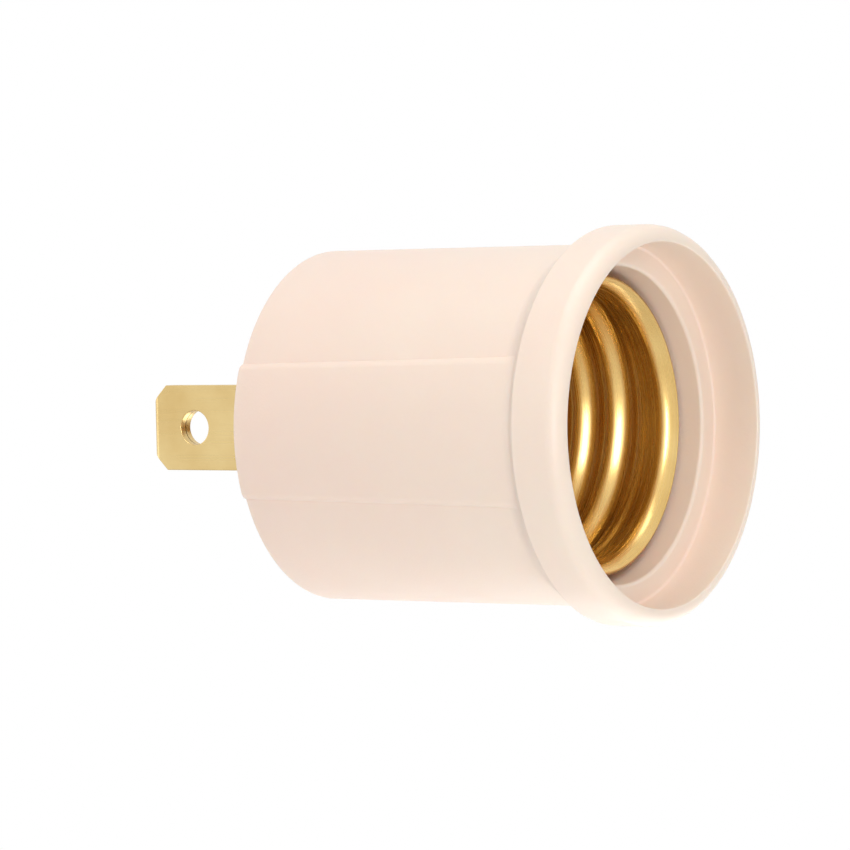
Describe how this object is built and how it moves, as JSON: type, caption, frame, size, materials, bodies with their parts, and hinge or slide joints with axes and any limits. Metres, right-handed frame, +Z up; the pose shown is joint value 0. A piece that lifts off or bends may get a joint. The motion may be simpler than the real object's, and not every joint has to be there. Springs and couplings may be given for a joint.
{
  "type": "lamp socket adapter",
  "caption": "Plug-in lamp holder: a round moulded barrel with grip pads and a thick collar round a screw socket, and two flat plug blades of unequal width at its back.",
  "frame": {"origin": "centre of the flat plug face, on the barrel's axis", "axes": "+Y along the axis out of the plug face, the way the blades point; the mouth opens to -Y; +Z up, with the blades upright; the wide neutral blade is on the -X side"},
  "size_m": [0.0358, 0.0519, 0.0358],
  "materials": {
    "moulding": "satin",
    "blade_brass": "satin",
    "shell_brass": "bright",
    "contact_bronze": "satin",
    "rivet_nickel": "satin",
    "screw_steel": "zinc plated"
  },
  "bodies": {
    "root": {"housing": "moulding", "rear_cover": "moulding", "cover_screws": "screw_steel", "neutral_blade": "blade_brass", "hot_blade": "blade_brass", "screw_shell": "shell_brass", "centre_contact": "contact_bronze", "rivets": "rivet_nickel"}
  },
  "joints": []
}
